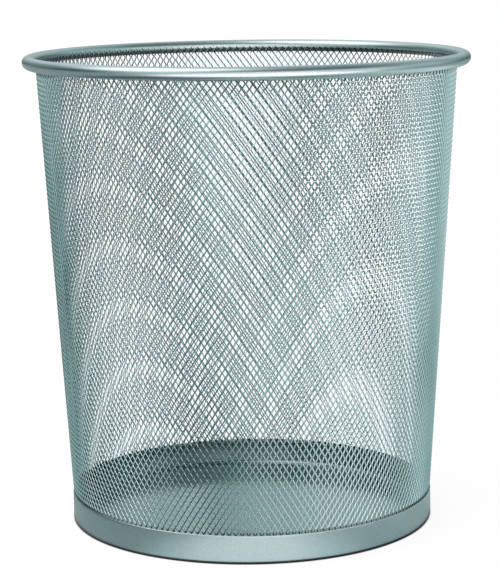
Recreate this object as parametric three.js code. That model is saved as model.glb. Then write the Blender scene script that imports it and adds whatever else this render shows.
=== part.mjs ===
// Round mesh wastebasket, in millimetres, +Z up, origin on the floor under its axis.
// A rolled sheet of expanded metal is welded inside a ring of round tube at the mouth.
// Its foot is held between two hoops, and a flat floor lies on the outer hoop's turned-in lip.
// The sheet's diamond openings are drawn coarse, with the openness of the fine mesh.
import * as THREE from "three";

// Overall sizes
const overallHeight = 297;
const rimOuterDiameter = 280;
const bandOuterDiameter = 231.4;

// Mouth: a tube bent to a ring, its two ends joined by one butt weld
const rimTubeDiameter = 8.1;
const rimTubeWall = 0.8;
const rimWeldLength = 2;
const rimWeldCrown = 0.15;
const rimWeldFacet = 20;

// Wall: the sheet's thickness, its lapped seam, and how it drops into the base
const sheetThickness = 0.5;
const seamLap = 12;
const seamAngle = THREE.MathUtils.degToRad(15);
const wallInsetFromBand = 0.2;
const joggleHeight = 2;
const wallTopBelowRimCentre = 0.5;

// Mesh: staggered diamond openings round the wall and up it, and the strands between them
const meshColumns = 24;
const meshRows = 6;
const strandWidth = 7;

// Base: the outer hoop with its turned-in lip, and the inner hoop and floor that stand on that lip
const bandThickness = 0.6;
const bandHeight = 17.6;
const bandCornerRadius = 2;
const bandLipWidth = 9;
const hoopThickness = 0.6;
const hoopDrop = 1;
const floorThickness = 0.6;

// Fits and facets
const seatClearance = 0.3;
const cornerSteps = 4;
const tubeQuarterSteps = 3;

// Sizes that follow from the ones above
const rimTubeRadius = rimTubeDiameter / 2;
const rimRingRadius = rimOuterDiameter / 2 - rimTubeRadius;
const rimCentreHeight = overallHeight - rimTubeRadius;
const bandOuterRadius = bandOuterDiameter / 2;
const bandInnerRadius = bandOuterRadius - bandThickness;
const bandInnerCorner = bandCornerRadius - bandThickness;
const lapStep = sheetThickness + seatClearance;
const wallFootRadius = bandInnerRadius - seatClearance;
const wallBottom = bandCornerRadius + seatClearance;
const hoopOuterRadius = wallFootRadius - sheetThickness - lapStep - seatClearance;
const hoopInnerRadius = hoopOuterRadius - hoopThickness;
const hoopTop = bandHeight - hoopDrop;
const floorRadius = hoopInnerRadius - seatClearance;
const lipSeat = bandThickness + seatClearance;
const floorTop = lipSeat + floorThickness;

const quarterTurn = Math.PI / 2;
const fullTurn = 2 * Math.PI;

// Every round piece has its facets between the same upright lines, two for each mesh column
const turnSteps = 2 * meshColumns;
const facetTurn = fullTurn / turnSteps;
const lapTurn = seamLap / wallFootRadius;
const rimWeldAngle = seamAngle + rimWeldFacet * facetTurn;

const rimPaint = new THREE.MeshStandardMaterial({ color: 0xa3b2b4, roughness: 0.35, metalness: 0.8 });
const meshPaint = new THREE.MeshStandardMaterial({ color: 0x9fb0b0, roughness: 0.45, metalness: 0.75 });
const basePaint = new THREE.MeshStandardMaterial({ color: 0xa6b4b6, roughness: 0.4, metalness: 0.75 });

// Turns an outline of radius and height about the vertical axis.
function turned(outline) {
  return new THREE.LatheGeometry(outline, turnSteps, seamAngle + quarterTurn).rotateX(quarterTurn);
}

function at(radius, height) {
  return new THREE.Vector2(radius, height);
}

// Points round a corner of an outline, about its centre, from one angle to another.
function corner(centre, radius, from, to) {
  const points = [];
  for (let i = 0; i <= cornerSteps; i++) {
    const angle = from + (to - from) * (i / cornerSteps);
    points.push(at(centre.x + radius * Math.cos(angle), centre.y + radius * Math.sin(angle)));
  }
  return points;
}

function named(name, geometry, material) {
  const mesh = new THREE.Mesh(geometry, material);
  mesh.name = name;
  return mesh;
}

// The rim's centre line, from one face of the weld round to the other.
class RimLine extends THREE.Curve {
  constructor(halfJoint) {
    super();
    this.halfJoint = halfJoint;
  }

  getPoint(t, target = new THREE.Vector3()) {
    const angle = rimWeldAngle + this.halfJoint + t * (fullTurn - 2 * this.halfJoint);
    return target.set(
      rimRingRadius * Math.cos(angle),
      rimRingRadius * Math.sin(angle),
      rimCentreHeight,
    );
  }
}

function makeRimTube() {
  const section = new THREE.Shape().absarc(0, 0, rimTubeRadius, 0, fullTurn, false);
  const bore = new THREE.Path().absarc(0, 0, rimTubeRadius - rimTubeWall, 0, fullTurn, true);
  section.holes.push(bore);
  const halfJoint = (rimWeldLength / 2 + seatClearance) / rimRingRadius;
  const geometry = new THREE.ExtrudeGeometry(section, {
    steps: turnSteps,
    curveSegments: 2 * tubeQuarterSteps,
    extrudePath: new RimLine(halfJoint),
  });
  return named("rim_tube", geometry, rimPaint);
}

// A ring of weld metal as long as the joint, standing a little proud of the tube.
function makeRimWeld() {
  const boreRadius = rimTubeRadius - rimTubeWall;
  const half = rimWeldLength / 2;
  const bead = [
    at(boreRadius, -half),
    at(rimTubeRadius, -half),
    at(rimTubeRadius + rimWeldCrown, 0),
    at(rimTubeRadius, half),
    at(boreRadius, half),
    at(boreRadius, -half),
  ];
  const weld = named("rim_weld", new THREE.LatheGeometry(bead, 4 * tubeQuarterSteps), rimPaint);
  weld.position.set(
    rimRingRadius * Math.cos(rimWeldAngle),
    rimRingRadius * Math.sin(rimWeldAngle),
    rimCentreHeight,
  );
  weld.rotation.z = rimWeldAngle;
  return weld;
}

// The upright lines of the rolled sheet: one full turn, then a tail stepped in behind its start.
// The tail keeps to the same flat facets as the layer that it lies behind.
function sheetLines() {
  const lines = [];
  for (let i = 0; i < turnSteps; i++) {
    lines.push({ angle: seamAngle + i * facetTurn, inset: 0, chord: 1 });
  }
  const seamEnd = seamAngle + fullTurn;
  for (let turn = 0; turn < lapTurn; turn += facetTurn) {
    lines.push({ angle: seamEnd + turn, inset: lapStep, chord: 1 });
  }
  const chord = Math.cos(facetTurn / 2) / Math.cos((lapTurn % facetTurn) - facetTurn / 2);
  lines.push({ angle: seamEnd + lapTurn, inset: lapStep, chord });
  return lines;
}

// The half rows in which openings stand on a line: staggered from line to line, none at the lap.
function openRows(line) {
  const firstLine = Math.ceil(lapTurn / facetTurn) + 1;
  const lastLine = turnSteps - 2;
  const rows = [];
  if (line >= firstLine && line <= lastLine) {
    for (let row = 1 + (line % 2); row < 2 * meshRows; row += 2) {
      rows.push(row);
    }
  }
  return rows;
}

// The sheet's edge along one line of the cone, going up, notched on one side by half openings.
// Each point has its place in lines round the sheet and its level, a radius and a height.
function notchedEdge(line, side, foot, top) {
  const halfRow = (top.y - foot.y) / (2 * meshRows);
  const levelAt = (row) => foot.clone().lerp(top, row / (2 * meshRows));
  const edge = [{ turn: line, level: foot }];
  for (const row of openRows(line)) {
    const level = levelAt(row);
    const facetWidth = 2 * level.x * Math.sin(facetTurn / 2);
    const slant = Math.hypot(facetWidth, halfRow);
    const share = 1 - (strandWidth * slant) / (2 * facetWidth * halfRow);
    edge.push({ turn: line, level: levelAt(row - share) });
    edge.push({ turn: line + side * share, level });
    edge.push({ turn: line, level: levelAt(row + share) });
  }
  edge.push({ turn: line, level: top });
  return edge;
}

// The sheet's flat panels between its lines: plain at the foot, with openings on the cone above.
function sheetPanels(levels, lineCount) {
  const panels = [];
  for (let line = 0; line + 1 < lineCount; line++) {
    levels.slice(0, -1).forEach((low, i) => {
      const high = levels[i + 1];
      const onCone = i + 2 === levels.length;
      const edge = (turn, side) =>
        onCone ? notchedEdge(turn, side, low, high) : [{ turn, level: low }, { turn, level: high }];
      panels.push([...edge(line + 1, -1), ...edge(line, 1).reverse()]);
    });
  }
  return panels;
}

// Cuts panels into triangles that share their corners.
function triangulated(panels) {
  const points = [];
  const triangles = [];
  const known = new Map();
  const indexOf = (point) => {
    const key = `${point.turn.toFixed(5)} ${point.level.y.toFixed(5)}`;
    if (!known.has(key)) {
      known.set(key, points.length);
      points.push(point);
    }
    return known.get(key);
  };
  for (const panel of panels) {
    const corners = panel.map(indexOf);
    const flat = panel.map(({ turn, level }) => at(turn, level.y));
    for (const face of THREE.ShapeUtils.triangulateShape(flat, [])) {
      triangles.push(face.map((i) => corners[i]));
    }
  }
  return { points, triangles };
}

// One sheet rolled to a cone, with a small step inwards where it drops behind the hoop.
function makeMeshWall() {
  const levels = [
    at(wallFootRadius, wallBottom),
    at(wallFootRadius, bandHeight),
    at(bandOuterRadius - wallInsetFromBand, bandHeight + joggleHeight),
    at(rimRingRadius - rimTubeRadius - seatClearance, rimCentreHeight - wallTopBelowRimCentre),
  ];
  const lines = sheetLines();
  const { points, triangles } = triangulated(sheetPanels(levels, lines.length));

  const place = ({ turn, level }, depth) => {
    const line = Math.min(Math.floor(turn), lines.length - 2);
    const [from, to] = lines.slice(line, line + 2).map(({ angle, inset, chord }) => {
      const radius = (level.x - inset - depth) * chord;
      return new THREE.Vector3(radius * Math.cos(angle), radius * Math.sin(angle), level.y);
    });
    return from.lerp(to, turn - line).toArray();
  };
  const skin = (depth) => points.flatMap((point) => place(point, depth));

  // The outer and the inner skin are joined along every edge that only one triangle has.
  const inner = points.length;
  const faces = [];
  const freeEdges = new Map();
  for (const [a, b, c] of triangles) {
    faces.push(a, b, c, inner + a, inner + c, inner + b);
    for (const [from, to] of [[a, b], [b, c], [c, a]]) {
      if (!freeEdges.delete(`${to} ${from}`)) {
        freeEdges.set(`${from} ${to}`, [from, to]);
      }
    }
  }
  for (const [from, to] of freeEdges.values()) {
    faces.push(to, from, inner + from, to, inner + from, inner + to);
  }

  const geometry = new THREE.BufferGeometry();
  const positions = [...skin(0), ...skin(sheetThickness)];
  geometry.setAttribute("position", new THREE.Float32BufferAttribute(positions, 3));
  geometry.setIndex(faces);
  geometry.computeVertexNormals();
  return named("mesh_wall", geometry, meshPaint);
}

// The hoop round the foot, rounded into a flat lip that the basket stands on.
function makeBaseBand() {
  const lipRadius = bandOuterRadius - bandLipWidth;
  const cornerCentre = at(bandOuterRadius - bandCornerRadius, bandCornerRadius);
  const outline = [
    at(lipRadius, 0),
    ...corner(cornerCentre, bandCornerRadius, -quarterTurn, 0),
    at(bandOuterRadius, bandHeight),
    at(bandInnerRadius, bandHeight),
    ...corner(cornerCentre, bandInnerCorner, 0, -quarterTurn),
    at(lipRadius, bandThickness),
    at(lipRadius, 0),
  ];
  return named("base_band", turned(outline), basePaint);
}

// The plain hoop inside the mesh's foot, which pinches the mesh against the outer hoop.
function makeBaseHoop() {
  const outline = [
    at(hoopInnerRadius, lipSeat),
    at(hoopOuterRadius, lipSeat),
    at(hoopOuterRadius, hoopTop),
    at(hoopInnerRadius, hoopTop),
    at(hoopInnerRadius, lipSeat),
  ];
  return named("base_hoop", turned(outline), basePaint);
}

// The floor, a flat disc inside the inner hoop.
function makeBaseFloor() {
  const outline = [
    at(0, lipSeat),
    at(floorRadius, lipSeat),
    at(floorRadius, floorTop),
    at(0, floorTop),
  ];
  return named("base_floor", turned(outline), basePaint);
}

const wastebasket = new THREE.Group();
wastebasket.add(makeRimTube(), makeRimWeld(), makeMeshWall());
wastebasket.add(makeBaseBand(), makeBaseHoop(), makeBaseFloor());

export default wastebasket;
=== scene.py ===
import math

import bmesh
import bpy
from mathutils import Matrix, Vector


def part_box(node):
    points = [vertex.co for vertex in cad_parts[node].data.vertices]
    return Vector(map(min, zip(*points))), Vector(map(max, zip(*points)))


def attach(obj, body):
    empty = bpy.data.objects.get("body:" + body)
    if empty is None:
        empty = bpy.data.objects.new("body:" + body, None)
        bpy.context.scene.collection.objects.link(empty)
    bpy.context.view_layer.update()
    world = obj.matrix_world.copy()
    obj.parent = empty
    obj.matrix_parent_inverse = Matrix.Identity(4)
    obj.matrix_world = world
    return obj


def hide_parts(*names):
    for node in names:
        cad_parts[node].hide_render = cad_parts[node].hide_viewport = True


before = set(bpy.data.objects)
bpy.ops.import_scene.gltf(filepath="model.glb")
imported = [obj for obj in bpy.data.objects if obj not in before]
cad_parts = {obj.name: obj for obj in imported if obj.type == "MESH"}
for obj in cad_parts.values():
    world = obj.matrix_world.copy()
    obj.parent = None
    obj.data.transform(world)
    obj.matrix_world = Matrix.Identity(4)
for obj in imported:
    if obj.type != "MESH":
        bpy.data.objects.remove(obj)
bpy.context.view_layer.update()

rimLow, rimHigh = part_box("rim_tube")
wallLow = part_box("mesh_wall")[0]
bandLow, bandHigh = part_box("base_band")
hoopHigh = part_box("base_hoop")[1]
floorLow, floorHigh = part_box("base_floor")
tubeRadius = (rimHigh.z - rimLow.z) / 2
tubeMiddle = rimHigh.x - tubeRadius
rimMiddle = (rimHigh.z + rimLow.z) / 2
print("frame loaded:", ", ".join(sorted(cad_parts)))

scene = bpy.context.scene
scene.view_settings.view_transform = "Standard"


# small helpers

def addObject(name, mesh):
    piece = bpy.data.objects.new(name, mesh)
    scene.collection.objects.link(piece)
    return piece


def addNode(tree, kind, inputs=None, **settings):
    node = tree.nodes.new(kind)
    for key, value in settings.items():
        setattr(node, key, value)
    for key, value in (inputs or {}).items():
        if isinstance(value, bpy.types.NodeSocket):
            tree.links.new(value, node.inputs[key])
        else:
            node.inputs[key].default_value = value
    return node


def doMath(tree, operation, *values):
    return addNode(tree, "ShaderNodeMath", dict(enumerate(values)), operation=operation).outputs[0]


# a value carried from one range to another, and held within it unless clamp is off
def mapped(tree, value, before, after=(0, 1), **settings):
    ends = {"From Min": before[0], "From Max": before[1], "To Min": after[0], "To Max": after[1]}
    return addNode(tree, "ShaderNodeMapRange", {"Value": value, **ends}, **settings).outputs[0]


# turns an outline of (radius, height) points about the vertical axis
def turnedMesh(name, outline, steps, joined):
    shape = bmesh.new()
    angles = [2 * math.pi * i / steps for i in range(steps)]
    rings = []
    for radius, height in outline:
        if radius == 0:
            rings.append([shape.verts.new((0, 0, height))] * steps)
            continue
        rings.append([shape.verts.new((radius * math.cos(a), radius * math.sin(a), height)) for a in angles])
    pairs = list(zip(rings, rings[1:]))
    if joined:
        pairs.append((rings[-1], rings[0]))
    for low, high in pairs:
        for i in range(steps):
            j = (i + 1) % steps
            corners = list(dict.fromkeys([low[i], low[j], high[j], high[i]]))
            shape.faces.new(corners)
    bmesh.ops.recalc_face_normals(shape, faces=shape.faces)
    mesh = bpy.data.meshes.new(name)
    shape.to_mesh(mesh)
    shape.free()
    mesh.shade_smooth()
    return mesh


# points along an arc, drawn out in height by the factor tall
def roundCorner(centre, radius, start, end, steps, tall=1):
    turns = [math.radians(start + (end - start) * i / steps) for i in range(steps + 1)]
    return [(centre[0] + radius * math.cos(t), centre[1] + tall * radius * math.sin(t)) for t in turns]


# camera, at the photograph's place and angle
shot = {
    "distance": 1.2627,
    "height": 0.3741,
    "sideways": 0.00045,
    "pitchDown": 10.17,
    "roll": -0.74,
    "lens": 126.05,
    "sensorWidth": 36,
}


def makeCamera():
    camera = bpy.data.objects.new("camera", bpy.data.cameras.new("camera"))
    scene.collection.objects.link(camera)
    camera.data.lens = shot["lens"]
    camera.data.sensor_width = shot["sensorWidth"]
    camera.location = (shot["sideways"], -shot["distance"], shot["height"])
    camera.rotation_mode = "ZYX"
    camera.rotation_euler = (math.radians(90 - shot["pitchDown"]), 0, math.radians(shot["roll"]))
    scene.camera = camera


makeCamera()
print("camera placed")

# silver paint: aluminium flakes under a thin clear lacquer
paint = {
    "colour": (0.34, 0.49, 0.5, 1),
    "meshColour": (0.33, 0.52, 0.52, 1),
    "metal": 0.97,
    "roughness": 0.33,
    "meshRoughness": 0.2,
    "panRoughness": 0.15,
    "coat": 0.2,
    "coatRoughness": 0.2,
    "coatIor": 1.6,
    "flakeScale": 2600,
    "flakeLevel": (0.9, 1.1),
    "peelScale": 420,
    "peelDetail": 3,
    "peelHeight": 0.0002,
    "rimPeel": 0.12,
    "meshPeel": 0.0,
    "basePeel": 0.15,
    "panPeel": 0.1,
    "cloudScale": 22,
    "cloudDetail": 4,
    "cloudRange": (0.3, 0.7),
    "cloudLevel": (0.95, 1.04),
    "cloudRoughness": (-0.03, 0.04),
}


# the share of shade at a place: both its height and its distance from the axis run from clear to full
def shadeShare(tree, place, shade):
    height = addNode(tree, "ShaderNodeSeparateXYZ", {0: place}).outputs[2]
    level = addNode(tree, "ShaderNodeVectorMath", {0: place, 1: (1, 1, 0)}, operation="MULTIPLY").outputs[0]
    across = addNode(tree, "ShaderNodeVectorMath", {0: level}, operation="LENGTH").outputs["Value"]
    return doMath(
        tree, "MULTIPLY", mapped(tree, height, shade["height"]), mapped(tree, across, shade["radius"])
    )


def silverPaint(name, colour, roughness, peelBump, *shades):
    material = bpy.data.materials.new(name)
    material.use_nodes = True
    tree = material.node_tree
    tree.nodes.clear()
    place = addNode(tree, "ShaderNodeTexCoord").outputs["Object"]
    flakes = addNode(tree, "ShaderNodeTexVoronoi", {"Vector": place, "Scale": paint["flakeScale"]})
    peel, clouds = (
        addNode(
            tree, "ShaderNodeTexNoise",
            {"Vector": place, "Scale": paint[kind + "Scale"], "Detail": paint[kind + "Detail"]},
        ).outputs[0]
        for kind in ("peel", "cloud")
    )
    flakeShade = addNode(tree, "ShaderNodeSeparateColor", {0: flakes.outputs["Color"]}).outputs[0]
    flakeLevel = mapped(tree, flakeShade, (0, 1), paint["flakeLevel"])
    cloudLevel = mapped(tree, clouds, paint["cloudRange"], paint["cloudLevel"])
    level = doMath(tree, "MULTIPLY", flakeLevel, cloudLevel)
    # painted shade: each shade darkens the paint's colour where it falls
    for shade in shades:
        dimmed = doMath(tree, "MULTIPLY", shadeShare(tree, place, shade), shade["depth"])
        level = doMath(tree, "MULTIPLY", level, doMath(tree, "SUBTRACT", 1, dimmed))
    mixed = addNode(tree, "ShaderNodeVectorMath", {0: colour[:3], "Scale": level}, operation="SCALE")
    smoother, rougher = paint["cloudRoughness"]
    rough = mapped(tree, clouds, paint["cloudRange"], (roughness + smoother, roughness + rougher))
    bump = addNode(
        tree, "ShaderNodeBump", {"Strength": peelBump, "Distance": paint["peelHeight"], "Height": peel}
    )
    shader = addNode(
        tree, "ShaderNodeBsdfPrincipled",
        {"Base Color": mixed.outputs[0], "Metallic": paint["metal"], "Roughness": rough,
         "Coat Weight": paint["coat"], "Coat Roughness": paint["coatRoughness"],
         "Coat IOR": paint["coatIor"], "Normal": bump.outputs[0]},
    )
    addNode(tree, "ShaderNodeOutputMaterial", {"Surface": shader.outputs[0]})
    return material


# painted shade where shade falls: in the grooves where the mesh meets the rim and the base, and on the
# base's inside
paintedShade = {
    "nearWall": (0.1, 0.105),
    "weldDepth": 0.8,
    "weldBelowMiddle": (0.001, 0.0024),
    "weldWidth": 0.002,
    "meshTopDepth": 0.85,
    "meshTopReach": 0.0012,
    "meshFootDepth": 0.8,
    "meshFootAbove": (0.002, 0.001),
    "insideDepth": 0.65,
    "insideAbove": (0.0001, 0.0006),
}
# painted shade on the lower inner side of the rim tube, where the mesh meets it
weldShade = {
    "depth": paintedShade["weldDepth"],
    "height": [rimMiddle - below for below in paintedShade["weldBelowMiddle"]],
    "radius": (tubeMiddle + paintedShade["weldWidth"], tubeMiddle),
}
# painted shade on the mesh strands just under the rim
meshTopShade = {
    "depth": paintedShade["meshTopDepth"],
    "height": (rimLow.z - paintedShade["meshTopReach"], rimLow.z),
    "radius": paintedShade["nearWall"],
}
# painted shade on the mesh strands just above the band
meshFootShade = {
    "depth": paintedShade["meshFootDepth"],
    "height": [bandHigh.z + above for above in paintedShade["meshFootAbove"]],
    "radius": paintedShade["nearWall"],
}
# painted shade on the pan's inner hoop and its corner, above the floor plate
baseInsideShade = {
    "depth": paintedShade["insideDepth"],
    "height": [floorHigh.z + above for above in paintedShade["insideAbove"]],
    "radius": paintedShade["nearWall"],
}
rimPaint = silverPaint("rimPaint", paint["colour"], paint["roughness"], paint["rimPeel"], weldShade)
meshPaint = silverPaint(
    "meshPaint", paint["meshColour"], paint["meshRoughness"], paint["meshPeel"], meshTopShade, meshFootShade
)
basePaint = silverPaint("basePaint", paint["colour"], paint["roughness"], paint["basePeel"])
panPaint = silverPaint("panPaint", paint["colour"], paint["panRoughness"], paint["panPeel"], baseInsideShade)
print("paint mixed")

# rim: a round tube bent to a ring
rim = {"turns": 288, "sides": 28}


def makeRim():
    lastTurn = 360 - 360 / rim["sides"]
    outline = roundCorner((tubeMiddle, rimMiddle), tubeRadius, 0, lastTurn, rim["sides"] - 1)
    piece = addObject("rimRing", turnedMesh("rimRing", outline, rim["turns"], True))
    piece.data.materials.append(rimPaint)
    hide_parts("rim_tube", "rim_weld")
    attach(piece, "root")


makeRim()
print("rim bent")

# mesh wall: expanded metal, whose flat strands all lean the same way round the basket
wall = {
    "columns": 186,
    "lapColumns": 3,
    "rows": 48,
    "pieces": 3,
    "footRowHeight": 0.00639,
    "topRowHeight": 0.00589,
    "footSqueeze": 0.0042,
    "squeezedRows": 2.5,
    "columnWidth": 0.00415,
    "strandWidth": 0.00064,
    "strandThickness": 0.0004,
    "lean": math.radians(40),
    "bondHalfHeight": 0.0003,
    "weldReach": 0.01,  # on the flat sheet, before it is rolled
    "endSides": 6,
    "seamAngle": math.radians(16.1),
    "lapInset": 0.0008,
    "lapRamp": 2,  # columns over which the lap goes in behind the first ones
    "joggleHeight": 0.002,
    "footInset": 0.0006,
    "wallInset": 0.0002,
    "topFlare": 0.001,
    "flareHeight": 0.004,
    # the sheet is rolled a little out of square: in columns or rows, the leans per metre of height
    "columnLean": 2.9,
    "leanSway": 2.4,
    "driftAside": 0.16,
    "driftBack": 0.31,
    "driftTwice": 0.15,
    "rowTilt": 0.23,
}


# one bond of the mesh with its two upward strands: x in columns, y in rows, z in millimetres
def diamondCell():
    lean = wall["lean"]
    widthAcross = wall["strandWidth"] * math.cos(lean) / wall["columnWidth"]
    widthOut = wall["strandWidth"] * math.sin(lean) * 1000
    thickAcross = wall["strandThickness"] / 2 * math.sin(lean) / wall["columnWidth"]
    thickOut = wall["strandThickness"] / 2 * math.cos(lean) * 1000
    up = 2 * wall["bondHalfHeight"] / (wall["footRowHeight"] + wall["topRowHeight"])
    shape = bmesh.new()

    # the outer and inner vertex at one corner of the bond that stands at column x, row y
    def pair(x, y, corner):
        side, rise = {"left": (-1, 0), "right": (1, 0), "top": (0, 1), "bottom": (0, -1)}[corner]
        across, height, out = x + side * widthAcross, y + rise * up, side * widthOut
        return (
            shape.verts.new((across - thickAcross, height, out + thickOut)),
            shape.verts.new((across + thickAcross, height, out - thickOut)),
        )

    # a bar between two end pairs, with its outer, inner and two narrow faces
    def bar(startLeft, startRight, endRight, endLeft):
        ring = (startLeft, startRight, endRight, endLeft)
        shape.faces.new([outer for outer, inner in ring])
        shape.faces.new([inner for outer, inner in reversed(ring)])
        shape.faces.new((startRight[0], startRight[1], endRight[1], endRight[0]))
        shape.faces.new((startLeft[1], startLeft[0], endLeft[0], endLeft[1]))

    left, right, top, bottom = (pair(0, 0, corner) for corner in ("left", "right", "top", "bottom"))
    plate = (left, bottom, right, top)
    shape.faces.new([outer for outer, inner in plate])
    shape.faces.new([inner for outer, inner in reversed(plate)])
    bar(top, right, pair(0.5, 0.5, "bottom"), pair(0.5, 0.5, "left"))
    bar(left, top, pair(-0.5, 0.5, "right"), pair(-0.5, 0.5, "bottom"))
    mesh = bpy.data.meshes.new("diamondCell")
    shape.to_mesh(mesh)
    shape.free()
    return addObject("diamondCell", mesh)


# the rule of the wall: lay cells on a staggered grid, weld them, and roll the sheet to a cone
def meshRule():
    tree = bpy.data.node_groups.new("meshRule", "GeometryNodeTree")
    tree.interface.new_socket("Geometry", in_out="OUTPUT", socket_type="NodeSocketGeometry")
    sizes = {
        "Cell": "NodeSocketObject", "Paint": "NodeSocketMaterial",
        "Columns": "NodeSocketInt", "Columns Round": "NodeSocketInt",
        "First Half Row": "NodeSocketInt", "Half Rows": "NodeSocketInt", "All Half Rows": "NodeSocketInt",
        "Foot Row Height": "NodeSocketFloat", "Top Row Height": "NodeSocketFloat",
        "Foot Height": "NodeSocketFloat", "Band Height": "NodeSocketFloat",
        "Joggle Height": "NodeSocketFloat", "Weld Reach": "NodeSocketFloat",
        "Foot Radius": "NodeSocketFloat", "Wall Radius": "NodeSocketFloat",
        "Top Radius": "NodeSocketFloat", "Top Height": "NodeSocketFloat",
        "Sheet Depth": "NodeSocketFloat", "Seam Angle": "NodeSocketFloat",
        "Lap Inset": "NodeSocketFloat", "Lap Ramp": "NodeSocketFloat",
        "Foot Squeeze": "NodeSocketFloat", "Squeezed Rows": "NodeSocketFloat",
        "Top Flare": "NodeSocketFloat", "Flare Height": "NodeSocketFloat",
        "Column Lean": "NodeSocketFloat", "Lean Sway": "NodeSocketFloat", "Drift Aside": "NodeSocketFloat",
        "Drift Back": "NodeSocketFloat", "Drift Twice": "NodeSocketFloat", "Row Tilt": "NodeSocketFloat",
    }
    for name, kind in sizes.items():
        tree.interface.new_socket(name, in_out="INPUT", socket_type=kind)
    given = tree.nodes.new("NodeGroupInput").outputs

    def calc(operation, *values):
        return doMath(tree, operation, *values)

    def ramp(value, before, after, **settings):
        return mapped(tree, value, before, after, **settings)

    # knuckles on a grid one column wide and half a row high, each second row moved half a column
    columnsLess = calc("SUBTRACT", given["Columns"], 1)
    halfRowsLess = calc("SUBTRACT", given["Half Rows"], 1)
    grid = addNode(
        tree, "GeometryNodeMeshGrid",
        {"Size X": columnsLess, "Size Y": halfRowsLess,
         "Vertices X": given["Columns"], "Vertices Y": given["Half Rows"]},
    )
    position = addNode(tree, "GeometryNodeInputPosition").outputs[0]
    place = addNode(tree, "ShaderNodeSeparateXYZ", {0: position})
    column = calc("ADD", place.outputs[0], calc("MULTIPLY", columnsLess, 0.5))
    halfRow = calc("ADD", place.outputs[1], calc("MULTIPLY", halfRowsLess, 0.5))
    halfRow = calc("ADD", calc("ROUND", halfRow), given["First Half Row"])
    stagger = calc("MULTIPLY", calc("FLOORED_MODULO", halfRow, 2), 0.5)
    knuckle = addNode(
        tree, "ShaderNodeCombineXYZ", {0: calc("ADD", column, stagger), 1: calc("MULTIPLY", halfRow, 0.5)}
    )
    laid = addNode(
        tree, "GeometryNodeSetPosition", {"Geometry": grid.outputs[0], "Position": knuckle.outputs[0]}
    )
    cell = addNode(tree, "GeometryNodeObjectInfo", {"Object": given["Cell"]})
    cells = addNode(
        tree, "GeometryNodeInstanceOnPoints",
        {"Points": laid.outputs[0], "Instance": cell.outputs["Geometry"]},
    )
    sheet = addNode(tree, "GeometryNodeRealizeInstances", {"Geometry": cells.outputs[0]})
    welded = addNode(
        tree, "GeometryNodeMergeByDistance",
        {"Geometry": sheet.outputs[0], "Distance": given["Weld Reach"]},
    )

    # from columns, rows and millimetres to angle, height and radius
    spot = addNode(tree, "ShaderNodeSeparateXYZ", {0: position})
    across, row, depth = spot.outputs
    share = calc("DIVIDE", across, given["Columns Round"])
    angle = calc("ADD", given["Seam Angle"], calc("MULTIPLY", share, 2 * math.pi))
    aside, back = calc("COSINE", angle), calc("SINE", angle)
    row = calc("SUBTRACT", row, calc("MULTIPLY", aside, given["Row Tilt"]))
    allRows = calc("MULTIPLY", given["All Half Rows"], 0.5)
    growth = calc("SUBTRACT", given["Top Row Height"], given["Foot Row Height"])
    bend = calc("DIVIDE", growth, calc("MULTIPLY", allRows, 2))
    climb = calc("MULTIPLY", row, calc("ADD", given["Foot Row Height"], calc("MULTIPLY", row, bend)))
    # the rows behind the band are pressed shorter
    squeeze = ramp(row, (0, given["Squeezed Rows"]), (0, given["Foot Squeeze"]))
    height = calc("SUBTRACT", calc("ADD", given["Foot Height"], climb), squeeze)
    shoulder = calc("ADD", given["Band Height"], given["Joggle Height"])
    coneRadii = (given["Wall Radius"], given["Top Radius"])
    cone = ramp(height, (shoulder, given["Top Height"]), coneRadii, clamp=False)
    radius = ramp(height, (given["Band Height"], shoulder), (given["Foot Radius"], cone))
    rampStart = calc("SUBTRACT", given["Columns Round"], given["Lap Ramp"])
    inset = ramp(across, (rampStart, given["Columns Round"]), (0, given["Lap Inset"]))
    # the top edge bends out into the rim
    flareStart = calc("SUBTRACT", given["Top Height"], given["Flare Height"])
    flare = ramp(height, (flareStart, given["Top Height"]), (0, given["Top Flare"]))
    middle = calc("SUBTRACT", radius, calc("MULTIPLY", given["Sheet Depth"], 0.5))
    middle = calc("ADD", calc("SUBTRACT", middle, inset), flare)
    outward = calc("ADD", middle, calc("MULTIPLY", depth, 0.001))
    # columns drift round the sheet and lean with height, more in front than behind
    level = calc("SUBTRACT", height, calc("MULTIPLY", given["Top Height"], 0.5))
    sway = calc("SUBTRACT", calc("MULTIPLY", back, given["Lean Sway"]), given["Column Lean"])
    driftAside = calc("MULTIPLY", aside, given["Drift Aside"])
    driftBack = calc("MULTIPLY", back, given["Drift Back"])
    drift = calc("ADD", driftAside, driftBack)
    twice = calc("MULTIPLY", calc("SINE", calc("MULTIPLY", angle, 2.0)), given["Drift Twice"])
    drift = calc("ADD", calc("ADD", drift, twice), calc("MULTIPLY", level, sway))
    turn = calc("DIVIDE", calc("MULTIPLY", drift, 2 * math.pi), given["Columns Round"])
    angle = calc("SUBTRACT", angle, turn)
    rolled = addNode(
        tree, "ShaderNodeCombineXYZ",
        {0: calc("MULTIPLY", outward, calc("COSINE", angle)),
         1: calc("MULTIPLY", outward, calc("SINE", angle)), 2: height},
    )
    closed = addNode(
        tree, "GeometryNodeSetPosition", {"Geometry": welded.outputs[0], "Position": rolled.outputs[0]}
    )
    painted = addNode(
        tree, "GeometryNodeSetMaterial", {"Geometry": closed.outputs[0], "Material": given["Paint"]}
    )
    addNode(tree, "NodeGroupOutput", {"Geometry": painted.outputs[0]})
    return tree


def setInput(modifier, name, value):
    for item in modifier.node_group.interface.items_tree:
        if item.item_type == "SOCKET" and item.in_out == "INPUT" and item.name == name:
            modifier[item.identifier] = value


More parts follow.
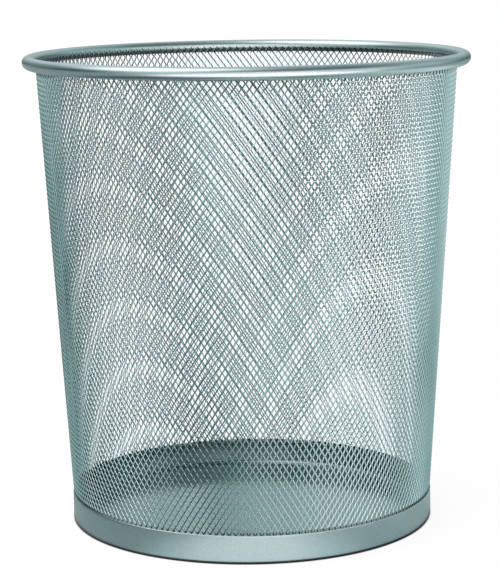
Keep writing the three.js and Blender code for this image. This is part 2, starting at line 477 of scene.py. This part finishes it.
def makeWall():
    tree = meshRule()
    cell = diamondCell()
    halfRows = 2 * wall["rows"]
    share = halfRows // wall["pieces"]
    lean = wall["lean"]
    sheetDepth = 2 * wall["strandWidth"] * math.sin(lean) + wall["strandThickness"] * math.cos(lean)
    for part in range(wall["pieces"]):
        name = f"meshSheet{part + 1}"
        maker = addObject(name + "Maker", bpy.data.meshes.new(name + "Maker"))
        modifier = maker.modifiers.new("meshRule", "NODES")
        modifier.node_group = tree
        values = {
            "Cell": cell, "Paint": meshPaint,
            "Columns": wall["columns"] + wall["lapColumns"], "Columns Round": wall["columns"],
            "First Half Row": part * share, "Half Rows": share, "All Half Rows": halfRows,
            "Foot Row Height": wall["footRowHeight"], "Top Row Height": wall["topRowHeight"],
            "Foot Height": wallLow.z, "Band Height": bandHigh.z,
            "Joggle Height": wall["joggleHeight"], "Weld Reach": wall["weldReach"],
            "Foot Radius": bandHigh.x - wall["footInset"], "Wall Radius": bandHigh.x - wall["wallInset"],
            "Top Radius": rimHigh.x - 2 * tubeRadius, "Top Height": rimMiddle,
            "Sheet Depth": sheetDepth, "Seam Angle": wall["seamAngle"],
            "Lap Inset": wall["lapInset"], "Lap Ramp": wall["lapRamp"],
            "Foot Squeeze": wall["footSqueeze"], "Squeezed Rows": wall["squeezedRows"],
            "Top Flare": wall["topFlare"], "Flare Height": wall["flareHeight"],
            "Column Lean": wall["columnLean"], "Lean Sway": wall["leanSway"],
            "Drift Aside": wall["driftAside"], "Drift Back": wall["driftBack"],
            "Drift Twice": wall["driftTwice"], "Row Tilt": wall["rowTilt"],
        }
        for key, value in values.items():
            setInput(modifier, key, value)
        depsgraph = bpy.context.evaluated_depsgraph_get()
        mesh = bpy.data.meshes.new_from_object(maker.evaluated_get(depsgraph))
        bpy.data.objects.remove(maker)
        # the cut ends of strands are closed
        shape = bmesh.new()
        shape.from_mesh(mesh)
        cutEdges = [e for e in shape.edges if e.is_boundary]
        bmesh.ops.holes_fill(shape, edges=cutEdges, sides=wall["endSides"])
        bmesh.ops.recalc_face_normals(shape, faces=shape.faces)
        loose = sum(e.is_boundary for e in shape.edges)
        shape.to_mesh(mesh)
        shape.free()
        mesh.shade_flat()  # each strand keeps its own lean in the light
        mesh.name = name
        piece = addObject(name, mesh)
        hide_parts("mesh_wall")
        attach(piece, "root")
        print(name, len(mesh.polygons), "faces", loose, "open edges")
    bpy.data.objects.remove(cell)


makeWall()
print("mesh wall rolled")

# base: the hoop with its lip, and the pan inside it
base = {
    "turns": 240,
    "bandThickness": 0.0006,
    "bandCorner": 0.002,
    "bandShoulder": 0.0004,
    "shoulderTall": 3,
    "bandLip": 0.009,
    "panThickness": 0.0006,
    "panCorner": 0.0025,
    "panMiddle": 0.07,  # a ring of points that keeps the plate's shading flat
    "cornerSteps": 8,
    "edgeSteps": 4,
    "sharpAngle": math.radians(40),
}


def makeBand():
    thick, corner, outer, top = base["bandThickness"], base["bandCorner"], bandHigh.x, bandHigh.z
    lip = outer - base["bandLip"]
    shoulder, tall = base["bandShoulder"], base["shoulderTall"]
    edge = (thick - shoulder) / 2
    steps = base["cornerSteps"]
    centre = (outer - corner, bandLow.z + corner)
    outline = (
        [(lip, bandLow.z)]
        + roundCorner(centre, corner, -90, 0, steps)
        + roundCorner((outer - shoulder, top - tall * shoulder), shoulder, 0, 90, steps, tall)
        + roundCorner((outer - thick + edge, top - edge), edge, 90, 180, base["edgeSteps"])
        + roundCorner(centre, corner - thick, 0, -90, steps)
        + [(lip, bandLow.z + thick)]
    )
    piece = addObject("footBand", turnedMesh("footBand", outline, base["turns"], True))
    piece.data.set_sharp_from_angle(angle=base["sharpAngle"])
    piece.data.materials.append(basePaint)
    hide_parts("base_band")
    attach(piece, "root")


def makePan():
    thick, corner, outer, top = base["panThickness"], base["panCorner"], hoopHigh.x, hoopHigh.z
    under = floorLow.z
    edge = thick / 2
    steps = base["cornerSteps"]
    centre = (outer - thick - corner, under + thick + corner)
    outline = (
        [(0, under)]
        + roundCorner(centre, corner + thick, -90, 0, steps)
        + roundCorner((outer - edge, top - edge), edge, 0, 180, steps)
        + roundCorner(centre, corner, 0, -90, steps)
        + [(base["panMiddle"], under + thick), (0, under + thick)]
    )
    piece = addObject("floorPan", turnedMesh("floorPan", outline, base["turns"], False))
    piece.data.set_sharp_from_angle(angle=base["sharpAngle"])
    piece.data.materials.append(panPaint)
    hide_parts("base_hoop", "base_floor")
    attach(piece, "root")


makeBand()
makePan()
print("base pressed")

# studio: a pale floor under soft lights in a dim room; angles in degrees, to the right of the camera and up
studio = {
    "roomColour": (0.02, 0.03, 0.031, 1),
    "softCore": 8,
    "softReach": 40,
    "softLights": {
        "highLeft": {"aside": -72, "up": 58, "level": 2.7},
        "highBack": {"aside": -144, "up": 58, "level": 0.4},
        "above": {"aside": 0, "up": 88, "level": 0.35},
        "lowLeft": {"aside": -45, "up": 5, "level": 0.8},
        "lowFront": {"aside": 4, "up": 5, "level": 1.75},
        "lowRight": {"aside": 48, "up": 5, "level": 1.2},
        "right": {"aside": 90, "up": 5, "level": 0.6},
        "backRight": {"aside": 125, "up": 32, "level": 0.55},
        "back": {"aside": 180, "up": 30, "level": 0.72},
        "backLeft": {"aside": -135, "up": 28, "level": 0.3},
    },
    # bright light is a little warm and dim light a little cool
    "coolRed": 0.76,
    "warmRed": 1.3,
    "warmLevel": 1.8,
    "floorHalf": 6,
    "floorColour": (0.12, 0.12, 0.12, 1),
    "floorSeen": 0.9,
    "floorMirrored": 0.4,
    # painted light and shadow on the floor, seen in reflections only: pools of light, and a painted shadow
    # (shade) in front of the base
    "paintedFloorPools": {
        "shade": {"place": (0, -0.14), "reach": 0.4, "edge": 0.12, "level": -0.4},
        "near": {"place": (0, 0), "reach": 0.2, "edge": 0.06, "level": 0.37},
        "nearFront": {"place": (-0.002, -0.16), "reach": 0.075, "edge": 0.08, "level": 0.8},
        "nearRight": {"place": (0.11, -0.09), "reach": 0.06, "edge": 0.05, "level": 0.15},
        "right": {"place": (0.55, 0.15), "reach": 0.38, "edge": 0.25, "level": 0.7},
        "front": {"place": (0.3, -2.3), "reach": 1.85, "edge": 0.4, "level": 2.7},
        "frontRight": {"place": (0.27, -0.17), "reach": 0.1, "edge": 0.1, "level": 0.5},
        "frontMiddle": {"place": (0.05, -0.32), "reach": 0.09, "edge": 0.08, "level": 0.3},
    },
    # painted contact shadow: the dark line under the base, outwards from the band's face
    "contactMirrored": (0.0011, 0.0035),
    "contactSeen": (-0.0005, 0.0006),
}


# light that fades over an edge: full inside the size, none outside it
def fadedShare(tree, value, size, edge):
    return mapped(tree, value, (size + edge / 2, size - edge / 2), interpolation_type="SMOOTHSTEP")


def lightColour(tree, level):
    red = mapped(tree, level, (0, studio["warmLevel"]), (studio["coolRed"], studio["warmRed"]))
    return addNode(tree, "ShaderNodeCombineColor", {0: red, 1: 1, 2: 1}).outputs[0]


def paleFloor():
    material = bpy.data.materials.new("paleFloor")
    material.use_nodes = True
    tree = material.node_tree
    tree.nodes.clear()
    matt = addNode(tree, "ShaderNodeBsdfDiffuse", {"Color": studio["floorColour"]})
    place = addNode(tree, "ShaderNodeTexCoord").outputs["Object"]
    # the floor's glow in reflections: painted pools of light and a painted shadow
    level = studio["floorMirrored"]
    for pool in studio["paintedFloorPools"].values():
        centre = (*pool["place"], 0)
        away = addNode(tree, "ShaderNodeVectorMath", {0: place, 1: centre}, operation="DISTANCE")
        share = fadedShare(tree, away.outputs["Value"], pool["reach"], pool["edge"])
        level = doMath(tree, "ADD", doMath(tree, "MULTIPLY", share, pool["level"]), level)
    # painted contact shadow where the base meets the floor, in reflections and to the camera
    fromAxis = addNode(tree, "ShaderNodeVectorMath", {0: place}, operation="LENGTH").outputs["Value"]
    clearMirrored, clearSeen = (
        mapped(tree, fromAxis, [bandHigh.x + out for out in studio[key]])
        for key in ("contactMirrored", "contactSeen")
    )
    level = doMath(tree, "MULTIPLY", doMath(tree, "MAXIMUM", level, 0), clearMirrored)
    path = addNode(tree, "ShaderNodeLightPath").outputs
    mirrored = doMath(tree, "MAXIMUM", path["Is Glossy Ray"], path["Is Transmission Ray"])
    seen = doMath(tree, "MULTIPLY", path["Is Camera Ray"], studio["floorSeen"])
    seen = doMath(tree, "MULTIPLY", seen, clearSeen)
    white = addNode(tree, "ShaderNodeEmission", {"Strength": seen})
    glow = addNode(
        tree, "ShaderNodeEmission",
        {"Color": lightColour(tree, level), "Strength": doMath(tree, "MULTIPLY", mirrored, level)},
    )
    lit = addNode(tree, "ShaderNodeAddShader", {0: white.outputs[0], 1: glow.outputs[0]})
    both = addNode(tree, "ShaderNodeAddShader", {0: matt.outputs[0], 1: lit.outputs[0]})
    addNode(tree, "ShaderNodeOutputMaterial", {"Surface": both.outputs[0]})
    return material


def makeFloor():
    mesh = bpy.data.meshes.new("studioFloor")
    half = studio["floorHalf"]
    corners = [(-half, -half, 0), (half, -half, 0), (half, half, 0), (-half, half, 0)]
    mesh.from_pydata(corners, [], [(0, 1, 2, 3)])
    mesh.materials.append(paleFloor())
    addObject("studioFloor", mesh)


# the room seen by the camera is white; the object is lit by soft round patches on dim walls
def makeSurround():
    world = bpy.data.worlds.new("surround")
    scene.world = world
    world.use_nodes = True
    tree = world.node_tree
    tree.nodes.clear()
    toward = addNode(tree, "ShaderNodeTexCoord").outputs["Generated"]
    level = 0
    core, reach = (math.cos(math.radians(studio[key])) for key in ("softCore", "softReach"))
    for light in studio["softLights"].values():
        aside, up = math.radians(light["aside"]), math.radians(light["up"])
        centre = (math.sin(aside) * math.cos(up), -math.cos(aside) * math.cos(up), math.sin(up))
        near = addNode(tree, "ShaderNodeVectorMath", {0: toward, 1: centre}, operation="DOT_PRODUCT")
        patch = mapped(tree, near.outputs["Value"], (reach, core), interpolation_type="SMOOTHSTEP")
        level = doMath(tree, "ADD", level, doMath(tree, "MULTIPLY", patch, light["level"]))
    room = addNode(tree, "ShaderNodeBackground", {"Color": studio["roomColour"]})
    white = addNode(tree, "ShaderNodeBackground", {"Color": (1, 1, 1, 1)})
    lights = addNode(tree, "ShaderNodeBackground", {"Color": lightColour(tree, level), "Strength": level})
    both = addNode(tree, "ShaderNodeAddShader", {0: room.outputs[0], 1: lights.outputs[0]})
    seen = addNode(tree, "ShaderNodeLightPath").outputs["Is Camera Ray"]
    mixed = addNode(tree, "ShaderNodeMixShader", {0: seen, 1: both.outputs[0], 2: white.outputs[0]})
    addNode(tree, "ShaderNodeOutputWorld", {"Surface": mixed.outputs[0]})


makeFloor()
makeSurround()
print("studio lit")
